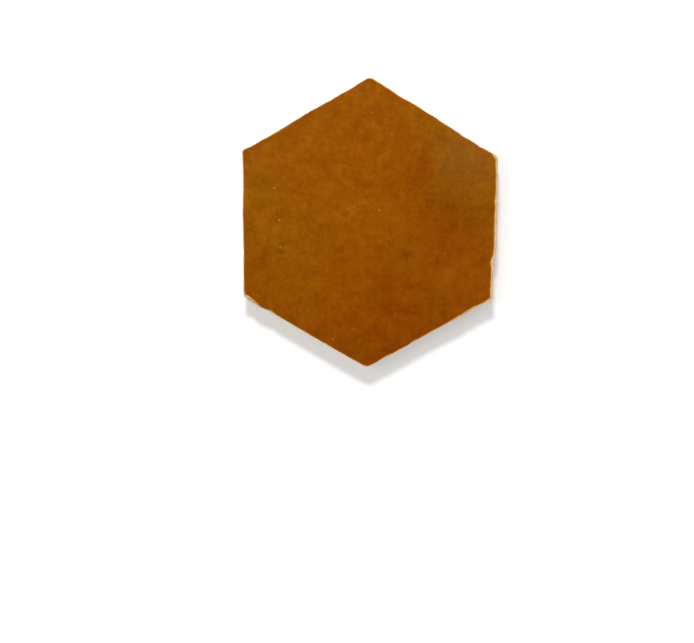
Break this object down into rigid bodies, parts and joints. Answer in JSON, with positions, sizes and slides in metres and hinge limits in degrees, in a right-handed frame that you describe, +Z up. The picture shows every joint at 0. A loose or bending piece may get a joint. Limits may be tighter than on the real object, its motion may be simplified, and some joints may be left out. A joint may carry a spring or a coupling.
{
  "type": "hexagon floor tile",
  "caption": "Flat hand-cut hexagonal floor tile of glazed earthenware, with a glossy mottled amber face, sides that lean in and a chipped edge.",
  "frame": {"origin": "centre of the tile's plan outline, on the plane of its flat bed", "axes": "+Z up out of the glazed face, +Y towards one corner along the widest measure, +X across the flats"},
  "size_m": [0.1332, 0.15, 0.012],
  "materials": {
    "glazed_earthenware": "gloss"
  },
  "bodies": {
    "root": {"hexagon_tile": "glazed_earthenware"}
  },
  "joints": []
}
